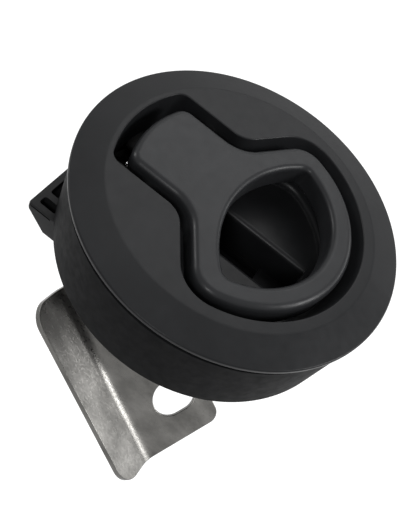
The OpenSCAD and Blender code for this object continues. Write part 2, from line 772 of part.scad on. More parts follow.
// Strike plate: one bent sheet, a slotted flat and a lip
module strike_plate() {
    tangent = bend_r * tan(lip_a / 2);
    color([0.66, 0.65, 0.63])
    translate([0, 0, cover_bottom] + strike_at)
        rotate(strike_turn)
            translate([0, tangent, 0]) {
                difference() {
                    sheet(strike_w - tangent, strike_corner_r);
                    strike_slot(slot_end, slot_near - tangent);
                    strike_slot(strike_l - slot_end, slot_near - tangent);
                }
                translate([0, 0, bend_r]) {
                    rotate([90, 0, 90])
                        linear_extrude(strike_l)
                            intersection() {
                                difference() {
                                    circle(bend_r + sheet_t, $fn = small);
                                    circle(bend_r, $fn = small);
                                }
                                far = 3 * (bend_r + sheet_t);
                                polygon([[0, 0], [0, -far], [-far * sin(lip_a), -far * cos(lip_a)]]);
                            }
                    rotate([-lip_a, 0, 0])
                        translate([0, 0, -bend_r])
                            mirror([0, 1, 0])
                                sheet(lip_w - tangent, lip_corner_r);
                }
            }
}

housing();
gasket();
mounting_ring();
pull_handle();
handle_pin();
handle_spring_left();
handle_spring_right();
bolt();
bolt_spring_left();
bolt_spring_right();
back_cover();
cover_screws();
strike_plate();
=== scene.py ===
import math

import bmesh
import bpy
from mathutils import Matrix, Vector


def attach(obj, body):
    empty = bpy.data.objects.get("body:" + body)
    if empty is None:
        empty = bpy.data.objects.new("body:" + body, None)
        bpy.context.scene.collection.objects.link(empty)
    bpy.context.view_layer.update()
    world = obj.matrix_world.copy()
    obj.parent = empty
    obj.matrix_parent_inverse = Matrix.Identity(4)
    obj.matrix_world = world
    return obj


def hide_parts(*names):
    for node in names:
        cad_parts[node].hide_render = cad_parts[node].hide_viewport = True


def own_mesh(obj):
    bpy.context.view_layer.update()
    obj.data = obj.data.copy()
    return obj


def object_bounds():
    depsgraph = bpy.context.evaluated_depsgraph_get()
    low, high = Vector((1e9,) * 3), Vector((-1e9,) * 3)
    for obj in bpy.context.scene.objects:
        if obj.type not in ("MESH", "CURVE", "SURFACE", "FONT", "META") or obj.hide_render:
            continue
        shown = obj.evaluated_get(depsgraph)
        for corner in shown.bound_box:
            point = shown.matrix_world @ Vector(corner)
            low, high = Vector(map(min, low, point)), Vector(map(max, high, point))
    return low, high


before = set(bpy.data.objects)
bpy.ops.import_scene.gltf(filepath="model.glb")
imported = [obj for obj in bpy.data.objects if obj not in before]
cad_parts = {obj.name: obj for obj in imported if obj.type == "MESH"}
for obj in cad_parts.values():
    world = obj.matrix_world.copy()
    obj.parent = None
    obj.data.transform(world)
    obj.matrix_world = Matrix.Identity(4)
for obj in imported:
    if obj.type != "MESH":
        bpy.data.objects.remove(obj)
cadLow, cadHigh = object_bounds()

mm = 0.001
scene = bpy.context.scene
scene.view_settings.view_transform = "Standard"
print("frame loaded:", len(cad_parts), "nodes")


# camera: where it stands in millimetres, then its right, up and back directions
cameraAt = dict(
    place=(-3.546, 86.742, 93.403),
    right=(-0.7841, -0.4992, 0.3687),
    up=(0.6202, -0.6093, 0.4941),
    back=(-0.0220, 0.6161, 0.7873),
    lens=49.22,
    sensor=36.0,
)


def makeCamera():
    data = bpy.data.cameras.new("camera")
    data.lens = cameraAt["lens"]
    data.sensor_width = cameraAt["sensor"]
    data.clip_start = 0.005
    cam = bpy.data.objects.new("camera", data)
    scene.collection.objects.link(cam)
    turn = Matrix((cameraAt["right"], cameraAt["up"], cameraAt["back"])).transposed()
    cam.matrix_world = Matrix.Translation(Vector(cameraAt["place"]) * mm) @ turn.to_4x4()
    scene.camera = cam


makeCamera()
print("camera placed")


# light: an even surround and soft lamps that face the object; towards is a direction from it
light = dict(
    surround=0.20,
    lamps=dict(
        top=dict(watts=1.15, size=0.40, towards=(0.160, -0.510, 0.845), away=0.50),
        right=dict(watts=0.32, size=0.20, towards=(-0.690, -0.720, 0.030), away=0.42),
        left=dict(watts=0.50, size=0.12, towards=(0.950, -0.026, 0.312), away=0.45),
        strip=dict(watts=0.85, size=0.12, towards=(-0.825, -0.190, 0.532), away=0.37),
        front=dict(watts=0.70, size=0.10, towards=(0.020, 0.756, 0.654), away=0.50),
    ),
)
floorAt = dict(half=3.0, drop=0.10, shade=0.45, lift=0.75)


def seenDirectly(tree):
    # 1 for rays from the camera and for those that a glossy or clear surface sends on
    rays = tree.nodes.new("ShaderNodeLightPath")
    either = tree.nodes.new("ShaderNodeMath")
    either.operation = "MAXIMUM"
    both = tree.nodes.new("ShaderNodeMath")
    both.operation = "MAXIMUM"
    tree.links.new(rays.outputs["Is Camera Ray"], either.inputs[0])
    tree.links.new(rays.outputs["Is Glossy Ray"], either.inputs[1])
    tree.links.new(either.outputs[0], both.inputs[0])
    tree.links.new(rays.outputs["Is Transmission Ray"], both.inputs[1])
    return both.outputs[0]


def makeWorld():
    world = bpy.data.worlds.new("studio")
    scene.world = world
    world.use_nodes = True
    tree = world.node_tree
    tree.nodes.clear()
    out = tree.nodes.new("ShaderNodeOutputWorld")
    mix = tree.nodes.new("ShaderNodeMixShader")
    soft = tree.nodes.new("ShaderNodeBackground")
    white = tree.nodes.new("ShaderNodeBackground")
    soft.inputs["Color"].default_value = (1, 1, 1, 1)
    soft.inputs["Strength"].default_value = light["surround"]
    white.inputs["Color"].default_value = (1, 1, 1, 1)
    white.inputs["Strength"].default_value = 1
    tree.links.new(seenDirectly(tree), mix.inputs["Fac"])
    tree.links.new(soft.outputs["Background"], mix.inputs[1])
    tree.links.new(white.outputs["Background"], mix.inputs[2])
    tree.links.new(mix.outputs["Shader"], out.inputs["Surface"])


def makeLamp(name, watts, size, towards, away):
    data = bpy.data.lights.new(name, "AREA")
    data.energy = watts
    data.size = size
    lamp = bpy.data.objects.new(name, data)
    scene.collection.objects.link(lamp)
    lamp.location = Vector(towards).normalized() * away
    lamp.rotation_mode = "QUATERNION"
    lamp.rotation_quaternion = (-Vector(towards)).to_track_quat("-Z", "Y")


def makeFloor():
    half, z = floorAt["half"], cadLow[2] - floorAt["drop"]
    mesh = bpy.data.meshes.new("floor")
    corners = [(-half, -half, z), (half, -half, z), (half, half, z), (-half, half, z)]
    mesh.from_pydata(corners, [], [(0, 1, 2, 3)])
    floor = bpy.data.objects.new("floor", mesh)
    scene.collection.objects.link(floor)
    paper = bpy.data.materials.new("pale_paper")
    paper.use_nodes = True
    tree = paper.node_tree
    tree.nodes.clear()
    out = tree.nodes.new("ShaderNodeOutputMaterial")
    matt = tree.nodes.new("ShaderNodeBsdfDiffuse")
    matt.inputs["Color"].default_value = (*[floorAt["shade"]] * 3, 1)
    glow = tree.nodes.new("ShaderNodeEmission")
    lift = tree.nodes.new("ShaderNodeMath")
    lift.operation = "MULTIPLY"
    lift.inputs[1].default_value = floorAt["lift"]
    both = tree.nodes.new("ShaderNodeAddShader")
    tree.links.new(seenDirectly(tree), lift.inputs[0])
    tree.links.new(lift.outputs[0], glow.inputs["Strength"])
    tree.links.new(matt.outputs[0], both.inputs[0])
    tree.links.new(glow.outputs[0], both.inputs[1])
    tree.links.new(both.outputs[0], out.inputs["Surface"])
    mesh.materials.append(paper)


makeWorld()
for name, lamp in light["lamps"].items():
    makeLamp(name, **lamp)
makeFloor()
print("light and floor set")


# materials: moulded nylon, rubber and steel, all from noise in the piece's own space
def newMaterial(name, colour, roughness, metallic=0.0, specular=0.5):
    material = bpy.data.materials.new(name)
    material.use_nodes = True
    shader = material.node_tree.nodes["Principled BSDF"]
    shader.inputs["Base Color"].default_value = (*colour, 1)
    shader.inputs["Roughness"].default_value = roughness
    shader.inputs["Metallic"].default_value = metallic
    shader.inputs["Specular IOR Level"].default_value = specular
    return material, material.node_tree, shader


def noise(tree, size, stretch=(1, 1, 1), detail=3):
    # a noise whose grains are about size millimetres across
    place = tree.nodes.new("ShaderNodeTexCoord")
    scale = tree.nodes.new("ShaderNodeMapping")
    scale.inputs["Scale"].default_value = stretch
    grain = tree.nodes.new("ShaderNodeTexNoise")
    grain.inputs["Scale"].default_value = 1 / (size * mm)
    grain.inputs["Detail"].default_value = detail
    tree.links.new(place.outputs["Object"], scale.inputs["Vector"])
    tree.links.new(scale.outputs["Vector"], grain.inputs["Vector"])
    return grain.outputs["Fac"]


def blendColour(tree, factor, dark, pale, socket):
    ramp = tree.nodes.new("ShaderNodeValToRGB")
    ramp.color_ramp.elements[0].position = 0.3
    ramp.color_ramp.elements[0].color = (*dark, 1)
    ramp.color_ramp.elements[1].position = 0.7
    ramp.color_ramp.elements[1].color = (*pale, 1)
    tree.links.new(factor, ramp.inputs["Fac"])
    tree.links.new(ramp.outputs["Color"], socket)


def spread(tree, factor, low, high, socket):
    span = tree.nodes.new("ShaderNodeMapRange")
    span.inputs["From Min"].default_value = 0.3
    span.inputs["From Max"].default_value = 0.7
    span.inputs["To Min"].default_value = low
    span.inputs["To Max"].default_value = high
    tree.links.new(factor, span.inputs["Value"])
    tree.links.new(span.outputs["Result"], socket)


def bump(tree, factor, strength, depth, shader):
    lift = tree.nodes.new("ShaderNodeBump")
    lift.inputs["Strength"].default_value = strength
    lift.inputs["Distance"].default_value = depth * mm
    tree.links.new(factor, lift.inputs["Height"])
    tree.links.new(lift.outputs["Normal"], shader.inputs["Normal"])


nylonLook = dict(
    black=dict(shade=(0.0110, 0.0114, 0.0123), rough=(0.29, 0.39), gloss=0.12, grain=0.22, lift=0.25),
    handle=dict(shade=(0.0165, 0.0171, 0.0184), rough=(0.28, 0.38), gloss=0.15, grain=0.22, lift=0.25),
    # ring: darker than the other nylons, painted shade for the band that sits under the rim
    ring=dict(shade=(0.0042, 0.0044, 0.0048), rough=(0.52, 0.62), gloss=0.03, grain=0.25, lift=0.2),
    bolt=dict(shade=(0.0125, 0.0128, 0.0134), rough=(0.40, 0.50), gloss=0.12, grain=0.25, lift=0.15),
    cover=dict(shade=(0.0095, 0.0098, 0.0106), rough=(0.44, 0.54), gloss=0.10, grain=0.28, lift=0.25),
)


def moulded(name, look):
    pale = tuple(1.25 * c for c in look["shade"])
    material, tree, shader = newMaterial(name, look["shade"], look["rough"][0], specular=look["gloss"])
    blendColour(tree, noise(tree, 6, detail=4), look["shade"], pale, shader.inputs["Base Color"])
    spread(tree, noise(tree, 1.6), *look["rough"], shader.inputs["Roughness"])
    bump(tree, noise(tree, look["grain"], detail=2), look["lift"], 0.03, shader)
    return material


def rubber():
    look = dict(dark=(0.008, 0.008, 0.008), pale=(0.013, 0.013, 0.013))
    material, tree, shader = newMaterial("soft_rubber", look["dark"], 0.8, specular=0.1)
    blendColour(tree, noise(tree, 2), look["dark"], look["pale"], shader.inputs["Base Color"])
    spread(tree, noise(tree, 0.6), 0.72, 0.9, shader.inputs["Roughness"])
    bump(tree, noise(tree, 0.3), 0.3, 0.03, shader)
    return material


steelLook = dict(
    # strike: its colours are far darker than bare steel, a painted dark reflection of the surroundings; its streaky
    # mottle is partly grain and partly painted reflection
    strike=dict(dark=(0.100, 0.098, 0.093), pale=(0.170, 0.166, 0.158), rough=(0.24, 0.42), stretch=(0.3, 1, 1)),
    wire=dict(dark=(0.40, 0.40, 0.40), pale=(0.52, 0.52, 0.52), rough=(0.22, 0.34), stretch=(1, 1, 1)),
    screw=dict(dark=(0.46, 0.46, 0.45), pale=(0.58, 0.58, 0.57), rough=(0.25, 0.38), stretch=(1, 1, 1)),
    pin=dict(dark=(0.48, 0.48, 0.47), pale=(0.60, 0.60, 0.59), rough=(0.18, 0.30), stretch=(1, 0.1, 1)),
)


def brushed(name, look):
    material, tree, shader = newMaterial(name, look["pale"], look["rough"][0], metallic=1.0)
    grain = noise(tree, 0.35, look["stretch"], detail=4)
    blendColour(tree, noise(tree, 3, look["stretch"]), look["dark"], look["pale"], shader.inputs["Base Color"])
    spread(tree, grain, *look["rough"], shader.inputs["Roughness"])
    bump(tree, grain, 0.25, 0.012, shader)
    return material


nylon = {key: moulded(key + "_nylon", look) for key, look in nylonLook.items()}
steel = {key: brushed(key + "_steel", look) for key, look in steelLook.items()}
sealRubber = rubber()
print("materials made")


# shaping: outlines are in millimetres, meshes in metres
def newPiece(name, verts, faces):
    mesh = bpy.data.meshes.new(name)
    mesh.from_pydata([Vector(v) * mm for v in verts], [], faces)
    piece = bpy.data.objects.new(name, mesh)
    scene.collection.objects.link(piece)
    faceOut(piece)
    return piece


def faceOut(piece):
    bm = bmesh.new()
    bm.from_mesh(piece.data)
    bmesh.ops.recalc_face_normals(bm, faces=bm.faces)
    bm.to_mesh(piece.data)
    bm.free()


def arcPoints(centre, radius, start, end, steps, skip=0):
    angles = [math.radians(start + (end - start) * i / steps) for i in range(skip, steps + 1)]
    return [(centre[0] + radius * math.cos(a), centre[1] + radius * math.sin(a)) for a in angles]


def rounded(corners, steps=6):
    # a closed outline from (x, y, radius) corners
    points = []
    for i, (x, y, radius) in enumerate(corners):
        here = Vector((x, y))
        if radius == 0:
            points.append((x, y))
            continue
        back = (Vector(corners[i - 1][:2]) - here).normalized()
        ahead = (Vector(corners[(i + 1) % len(corners)][:2]) - here).normalized()
        half = back.angle(ahead) / 2
        centre = here + (back + ahead).normalized() * radius / math.sin(half)
        start = here + back * radius / math.tan(half) - centre
        end = here + ahead * radius / math.tan(half) - centre
        turn = start.angle(end)
        for s in range(steps + 1):
            t = s / steps
            arm = (start * math.sin((1 - t) * turn) + end * math.sin(t * turn)) / math.sin(turn)
            points.append(tuple(centre + arm))
    return points


def mirrored(half):
    return half + [(x, -y) for x, y in half[-2:0:-1]]


def loft(name, levels):
    # levels are (z, outline) from low to high, all outlines with as many points
    count = len(levels[0][1])
    verts = [(x, y, z) for z, outline in levels for x, y in outline]
    faces = [tuple(range(count - 1, -1, -1)), tuple(range(len(verts) - count, len(verts)))]
    for low in range(0, len(verts) - count, count):
        for i in range(count):
            k = (i + 1) % count
            faces.append((low + i, low + k, low + count + k, low + count + i))
    return newPiece(name, verts, faces)


def prism(name, outline, low, high):
    return loft(name, [(low, outline), (high, outline)])


def standUp(piece, turn, shift=(0, 0, 0)):
    piece.data.transform(Matrix.Translation(Vector(shift) * mm) @ turn)
    return piece


alongY = Matrix.Rotation(math.radians(-90), 4, "X")


def sidePrism(name, outline, halfWidth):
    # outline in X and Z, as wide as stated on both sides of the middle
    piece = prism(name, [(x, -z) for x, z in outline], -halfWidth, halfWidth)
    return standUp(piece, Matrix.Rotation(math.radians(-90), 4, "X"))


def alongX(name, outline, start, end):
    # outline in Y and Z, carried along X
    piece = prism(name, outline, start, end)
    return standUp(piece, Matrix(((0, 0, 1, 0), (1, 0, 0, 0), (0, 1, 0, 0), (0, 0, 0, 1))))


def block(name, low, high):
    outline = [(low[0], low[1]), (high[0], low[1]), (high[0], high[1]), (low[0], high[1])]
    return prism(name, outline, low[2], high[2])


def lathe(name, profile, turns=180):
    # closed profile of (radius, z); points on the axis have radius 0
    verts, rings = [], []
    for radius, z in profile:
        if radius == 0:
            rings.append([len(verts)])
            verts.append((0, 0, z))
        else:
            rings.append(list(range(len(verts), len(verts) + turns)))
            verts += [(x, y, z) for x, y in arcPoints((0, 0), radius, 0, 360, turns, skip=1)]
    faces = []
    for a, b in zip(rings, rings[1:] + rings[:1]):
        if len(a) == 1 and len(b) == 1:
            continue
        for i in range(turns):
            k = (i + 1) % turns
            ring = [a[i % len(a)], a[k % len(a)], b[k % len(b)], b[i % len(b)]]
            faces.append(tuple(dict.fromkeys(ring)))
    return newPiece(name, verts, faces)


def settle(piece):
    bpy.context.view_layer.update()
    shown = piece.evaluated_get(bpy.context.evaluated_depsgraph_get())
    mesh = bpy.data.meshes.new_from_object(shown)
    piece.modifiers.clear()
    piece.data = mesh


def combine(piece, how, tools):
    for tool in tools:
        step = piece.modifiers.new("step", "BOOLEAN")
        step.operation = how
        step.solver = "EXACT"
        step.object = tool
        settle(piece)
        bpy.data.objects.remove(tool)
    return piece


def joinFlats(bm):
    # the cuts leave slivers, which go back into the flat faces that they split
    bmesh.ops.remove_doubles(bm, verts=bm.verts, dist=0.002 * mm)
    bmesh.ops.dissolve_limit(bm, angle_limit=math.radians(0.4), verts=bm.verts, edges=bm.edges)


def softEdges(piece, width, steps=3, above=30, where=None):
    # rounds the sharp edges, or those whose middle passes the test
    bm = bmesh.new()
    bm.from_mesh(piece.data)
    joinFlats(bm)
    picked = []
    for edge in bm.edges:
        if len(edge.link_faces) == 2 and edge.calc_face_angle() > math.radians(above):
            middle = (edge.verts[0].co + edge.verts[1].co) / (2 * mm)
            if where is None or where(middle):
                picked.append(edge)
    bmesh.ops.bevel(bm, geom=picked, offset=width * mm, offset_type="OFFSET", segments=steps,
                    profile=0.5, affect="EDGES", clamp_overlap=True)
    bm.to_mesh(piece.data)
    bm.free()
    return piece


def fit(piece, body, slot, material, *stands):
    # smooth shading, material, and the CAD body and nodes that the piece belongs to
    mesh = piece.data
    bm = bmesh.new()
    bm.from_mesh(mesh)
    joinFlats(bm)
    bm.to_mesh(mesh)
    bm.free()
    mesh.materials.clear()
    mesh.materials.append(material)
    for face in mesh.polygons:
        face.use_smooth = True
    mesh.set_sharp_from_angle(angle=math.radians(33))
    weigh = piece.modifiers.new("weigh", "WEIGHTED_NORMAL")
    weigh.keep_sharp = True
    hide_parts(*stands)
    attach(piece, body)


# keyhole outlines: head, shoulder, half stem, reach, then shoulder, neck and corner radii
shoulderAngle = 34.4
wellKey = [23.85, 12.92, 11.6, 25.2, 7.5, 5.0, 2.5]
handleKey = [21.85, 10.72, 9.1, 22.2, 5.5, 7.2, 2.8]


def angleOf(point):
    return math.degrees(math.atan2(point[1], point[0]))


def keyholeOutline(k, fine=3):
    a = math.radians(shoulderAngle)
    corner = (math.sqrt((k[3] - k[6]) ** 2 - (k[2] - k[6]) ** 2), k[2] - k[6])
    neck = ((k[1] + k[5] - (k[2] + k[5]) * math.sin(a)) / math.cos(a), k[2] + k[5])
    side = math.sqrt((k[0] - k[4]) ** 2 - (k[1] - k[4]) ** 2)
    shoulder = ((k[1] - k[4]) * math.cos(a) - side * math.sin(a),
                (k[1] - k[4]) * math.sin(a) + side * math.cos(a))
    return mirrored(
        arcPoints((0, 0), k[3], 0, angleOf(corner), 5 * fine)
        + arcPoints(corner, k[6], angleOf(corner), 90, 5 * fine, skip=1)
        + arcPoints(neck, k[5], -90, shoulderAngle - 180, 6 * fine)
        + arcPoints(shoulder, k[4], shoulderAngle, angleOf(shoulder), 7 * fine)
        + arcPoints((0, 0), k[0], angleOf(shoulder), 180, 15 * fine, skip=1))


def inset(k, d):
    return [k[0] - d, k[1] - d, k[2] - d, k[3] - d, k[4] - d, k[5] + d, k[6] - d]


def lean(k, d):
    return [k[0] - d, k[1] - 0.8 * d, k[2] - 0.1 * d] + k[3:]


def lowArc(z, radius, steps):
    # (height, inset) round a lower edge, from the flat to the upright
    turns = [math.radians(90 * i / steps) for i in range(steps + 1)]
    return [(z + radius - radius * math.cos(t), radius - radius * math.sin(t)) for t in turns]


def highArc(z, radius, steps):
    turns = [math.radians(90 * i / steps) for i in range(steps + 1)]
    return [(z - radius + radius * math.sin(t), radius - radius * math.cos(t)) for t in turns]


# housing: bezel, keyhole well and barrel in one moulding
housing = dict(
    faceZ=2.3, faceR=26.1, rimR=32, rimZ=0.88, rimEdge=0.35, creaseR=2.5,
    barrelR=28, barrelZ=-16.8,
    floorZ=-8.5, floorR=1.5, lean=2.6, edgeR=0.3,
    channelHalf=4.4, channelBack=-17, channelOpen=-10, channelFloor=-16.0, channelFront=17.8,
    windowHalf=7, topZ=-6.5, channelEdge=1.2,
    pinX=15.5, pinZ=-4.5, pinR=1.51, pinHalf=19.45,
)


def channelFlare():
    # section of the cut that rounds the channel's two long upper edges
    y, z, r = housing["channelHalf"], housing["floorZ"], housing["channelEdge"]
    side = arcPoints((y + r, z - r), r, 180, 90, 10) + [(y + r, z + 0.4)]
    return [(-a, b) for a, b in side[::-1]] + side


def makeHousing():
    h = housing
    section = rounded([
        (0, h["barrelZ"], 0), (h["barrelR"], h["barrelZ"], 0.3), (h["barrelR"], 0, 0),
        (h["rimR"], 0, 0.15), (h["rimR"], h["rimZ"], h["rimEdge"]),
        (h["faceR"], h["faceZ"], h["creaseR"]), (0, h["faceZ"], 0)])
    piece = lathe("bezel_and_barrel", section, turns=240)
    levels = [(z, keyholeOutline(lean(wellKey, h["lean"] + d))) for z, d in lowArc(h["floorZ"], h["floorR"], 7)]
    levels += [(z, keyholeOutline(inset(wellKey, -d))) for z, d in highArc(h["faceZ"], h["edgeR"], 4)]
    levels.append((h["faceZ"] + 1, levels[-1][1]))
    well = loft("well", levels)
    closed = block("closed", (h["channelBack"], -h["channelHalf"], h["channelFloor"]),
                   (0, h["channelHalf"], h["topZ"]))
    tee = [(h["channelOpen"], -h["channelHalf"]), (h["channelFront"], -h["channelHalf"]),
           (h["channelFront"], -h["windowHalf"]), (h["barrelR"] + 1, -h["windowHalf"]),
           (h["barrelR"] + 1, h["windowHalf"]), (h["channelFront"], h["windowHalf"]),
           (h["channelFront"], h["channelHalf"]), (h["channelOpen"], h["channelHalf"])]
    window = prism("window", tee, h["barrelZ"] - 1, h["topZ"])
    flare = alongX("flare", channelFlare(), h["channelBack"], h["channelFront"])
    combine(piece, "DIFFERENCE", [well, closed, window, flare])
    bore = lathe("bore", [(0, -h["pinHalf"]), (h["pinR"], -h["pinHalf"]),
                          (h["pinR"], h["barrelR"]), (0, h["barrelR"])], turns=48)
    standUp(bore, alongY, (h["pinX"], 0, h["pinZ"]))
    combine(piece, "DIFFERENCE", [bore])
    fit(piece, "case", "black_nylon", nylon["black"], "housing")


makeHousing()
print("housing made")


# gasket under the flange, and the ring that screws up behind it
gasket = dict(inner=28.1, outer=30.75, low=-0.8, high=0, edge=0.15)
ring = dict(inner=28.2, front=31.6, back=31.15, high=-0.8, low=-16.4, chamfer=0.5, edge=0.3)


def makeGasketAndRing():
    g, r = gasket, ring
    corners = [(g["inner"], g["low"]), (g["outer"], g["low"]), (g["outer"], g["high"]), (g["inner"], g["high"])]
    seal = lathe("seal", rounded([(*c, g["edge"]) for c in corners], steps=3), turns=180)
    fit(seal, "case", "rubber", sealRubber, "gasket")
    collar = lathe("collar", rounded([
        (r["inner"], r["low"], r["edge"]), (r["back"], r["low"], r["edge"]),
        (r["front"], r["high"] - r["chamfer"], 0.12), (r["front"] - r["chamfer"], r["high"], 0.12),
        (r["inner"], r["high"], 0.1)], steps=4), turns=240)
    fit(collar, "case", "ring_nylon", nylon["ring"], "mounting_ring")


makeGasketAndRing()
print("gasket and ring made")


# pull handle: ring and stem plate, hub and leg
pull = dict(
    boreR=1.54,
    top=2.3, low=-3.2, topEdge=1.5, lowEdge=0.8, stemLow=-1.2, stemStart=8.6,
    holeR=17.3, bulgeR=22.95, bulgeReach=2, tipR=1.8, holeEdge=1.2,
    hubR=3.4, hubHalf=7, webHalf=2.7, legT=3.6, legHalf=3.9, footZ=-20.7, edge=0.35,
)


def holeOutline(d, fine=3):
    p = pull
    bulgeX = p["bulgeReach"] - p["bulgeR"]
    far, near = p["holeR"] - p["tipR"], p["bulgeR"] - p["tipR"]
    tipX = (far ** 2 - near ** 2 + bulgeX ** 2) / (2 * bulgeX)
    tip = (tipX, math.sqrt(far ** 2 - tipX ** 2))
    lean = angleOf((tip[0] - bulgeX, tip[1]))
    return mirrored(
        arcPoints((bulgeX, 0), p["bulgeR"] - d, 0, lean, 9 * fine)
        + arcPoints(tip, p["tipR"] - d, lean, angleOf(tip), 6 * fine, skip=1)
        + arcPoints((0, 0), p["holeR"] - d, angleOf(tip), 180, 12 * fine, skip=1))


def makeHandle():
    p, h = pull, housing
    edges = lowArc(p["low"], p["lowEdge"], 6) + highArc(p["top"], p["topEdge"], 10)
    plate = loft("pull_handle_piece", [(z, keyholeOutline(inset(handleKey, d))) for z, d in edges])
    rims = lowArc(p["low"], p["lowEdge"], 6) + highArc(p["top"], p["holeEdge"], 9)
    levels = [(z, holeOutline(-d)) for z, d in rims]
    levels = [(p["low"] - 1, levels[0][1])] + levels + [(p["top"] + 1, levels[-1][1])]
    under = block("under", (p["stemStart"], -30, p["low"] - 1), (30, 30, p["stemLow"]))
    combine(plate, "DIFFERENCE", [under, loft("hole", levels)])
    hub = lathe("hub", rounded([(0, -p["hubHalf"], 0), (p["hubR"], -p["hubHalf"], 0.3),
                                (p["hubR"], p["hubHalf"], 0.3), (0, p["hubHalf"], 0)]), turns=64)
    standUp(hub, alongY, (h["pinX"], 0, h["pinZ"]))
    web = block("web", (h["pinX"] - p["webHalf"], -p["hubHalf"], h["pinZ"]),
                (h["pinX"] + p["webHalf"], p["hubHalf"], p["stemLow"] + 1))
    foot = arcPoints((h["pinX"], p["footZ"]), p["legT"] / 2, 180, 360, 24)
    leg = sidePrism("leg", foot + [(h["pinX"] + p["legT"] / 2, h["pinZ"]),
                                   (h["pinX"] - p["legT"] / 2, h["pinZ"])], p["legHalf"])
    softEdges(leg, p["edge"])
    combine(plate, "UNION", [hub, web, leg])
    bore = lathe("bore", [(0, -20), (p["boreR"], -20), (p["boreR"], 20), (0, 20)], turns=64)
    standUp(bore, alongY, (h["pinX"], 0, h["pinZ"]))
    combine(plate, "DIFFERENCE", [bore])
    fit(plate, "handle", "handle_nylon", nylon["handle"], "pull_handle")


makeHandle()
print("handle made")


# sliding bolt, seen from above: tongue behind, slanted under its tip, pockets in its front
bolt = dict(
    top=-17.05, low=-22.85, half=16.8, rear=-8, tip=32.2, tipR=0.6, rearR=4.2,
    tongue=-12, tongueHalf=5.6, wedgeX=27.6, tipLow=-18.65, edge=0.25,
    slotX=(13.2, 28.3), slotHalf=4.4, troughZ=-18.85,
    pocketX=(26.9, 30.8), pocketR=0.6, pocketY=((-3.7, 3.7), (5.1, 12.1), (13.5, 15.4)), pocketFloor=1.2,
    grooveZ=(-17.8, -17.35), grooveDepth=0.35, springY=10, springR=2.1, springZ=-19.95, springX=-5,
)


def boltOutline(inward=0.0):
    b = bolt
    half = [(b["tongue"] + inward, b["tongueHalf"] - inward, 0.5), (b["rear"] + inward, b["tongueHalf"] - inward, 0.3),
            (b["rear"] + inward, b["half"] - inward, b["rearR"]),
            (b["tip"] - inward, b["half"] - inward, b["tipR"])]
    return rounded([(x, -y, r) for x, y, r in half[::-1]][::-1] + half[::-1], steps=5)


def boltPockets():
    b = bolt
    slope = (b["tipLow"] - b["low"]) / (b["tip"] - b["wedgeX"])
    floorZ = b["low"] + b["pocketFloor"]
    spans = list(b["pocketY"]) + [(-hi, -lo) for lo, hi in b["pocketY"][1:]]
    cutters = []
    for lo, hi in spans:
        x0, x1, r = *b["pocketX"], b["pocketR"]
        outline = rounded([(x0, lo, r), (x1, lo, r), (x1, hi, r), (x0, hi, r)], steps=4)
        pocket = prism("pocket", outline, b["low"] - 1, b["top"] + 1)
        below = sidePrism("below", [(20, b["low"] - 2), (40, b["low"] - 2), (40, floorZ + slope * (40 - b["wedgeX"])),
                                    (b["wedgeX"], floorZ), (20, floorZ)], 20)
        cutters.append(combine(pocket, "DIFFERENCE", [below]))
    return cutters


def makeBolt():
    b = bolt
    piece = prism("slide_bolt", boltOutline(), b["low"], b["top"])
    slant = sidePrism("slant", [(b["wedgeX"], b["low"]), (b["wedgeX"] - 1, b["low"] - 2), (b["tip"] + 2, b["low"] - 2),
                                (b["tip"] + 2, b["tipLow"] + 2 * (b["tipLow"] - b["low"]) / (b["tip"] - b["wedgeX"])),
                                (b["tip"], b["tipLow"])], 20)
    combine(piece, "DIFFERENCE", [slant])
    softEdges(piece, b["edge"])
    slot = block("slot", (b["slotX"][0], -b["slotHalf"], b["low"] - 1), (b["slotX"][1], b["slotHalf"], b["top"] + 1))
    trough = block("trough", (b["tongue"] - 1, -b["slotHalf"], b["troughZ"]),
                   (b["slotX"][0] + 1, b["slotHalf"], b["top"] + 1))
    combine(piece, "DIFFERENCE", [slot, trough] + boltPockets())
    softEdges(piece, 0.12, steps=2,
              where=lambda p: abs(p.z - b["top"]) < 0.01 and b["pocketX"][0] - 0.1 < p.x < b["pocketX"][1] + 0.1
              and abs(p.y) < b["half"] - 1)
    low, high = b["grooveZ"]
    band = prism("band", [(b["pocketX"][0], -30), (40, -30), (40, 30), (b["pocketX"][0], 30)], low, high)
    core = prism("core", boltOutline(b["grooveDepth"]), low - 1, high + 1)
    bores = []
    for side in (-1, 1):
        bore = lathe("bore", [(0, b["rear"] - 1), (b["springR"], b["rear"] - 1),
                              (b["springR"], b["springX"]), (0, b["springX"])], turns=48)
        bores.append(standUp(bore, Matrix.Rotation(math.radians(90), 4, "Y"), (0, side * b["springY"], b["springZ"])))
    combine(piece, "DIFFERENCE", [combine(band, "DIFFERENCE", [core])] + bores)
    fit(piece, "latch", "bolt_nylon", nylon["bolt"], "bolt")


makeBolt()
print("bolt made")


# strike plate: one stamped sheet, bent along a line, with two oval slots
strike = dict(
    place=(19.2, 18.8, -32.4), turn=(23, 29, 167.3),
    length=42.5, width=18.6, lip=9.3, lipAngle=45, bendR=4.2, thick=1.2,
    corner=2.5, lipCorner=4.5, slotW=7.8, slotEnd=9.8, slotNear=10.4, slotL=2, edge=0.25, bendSteps=24,
)


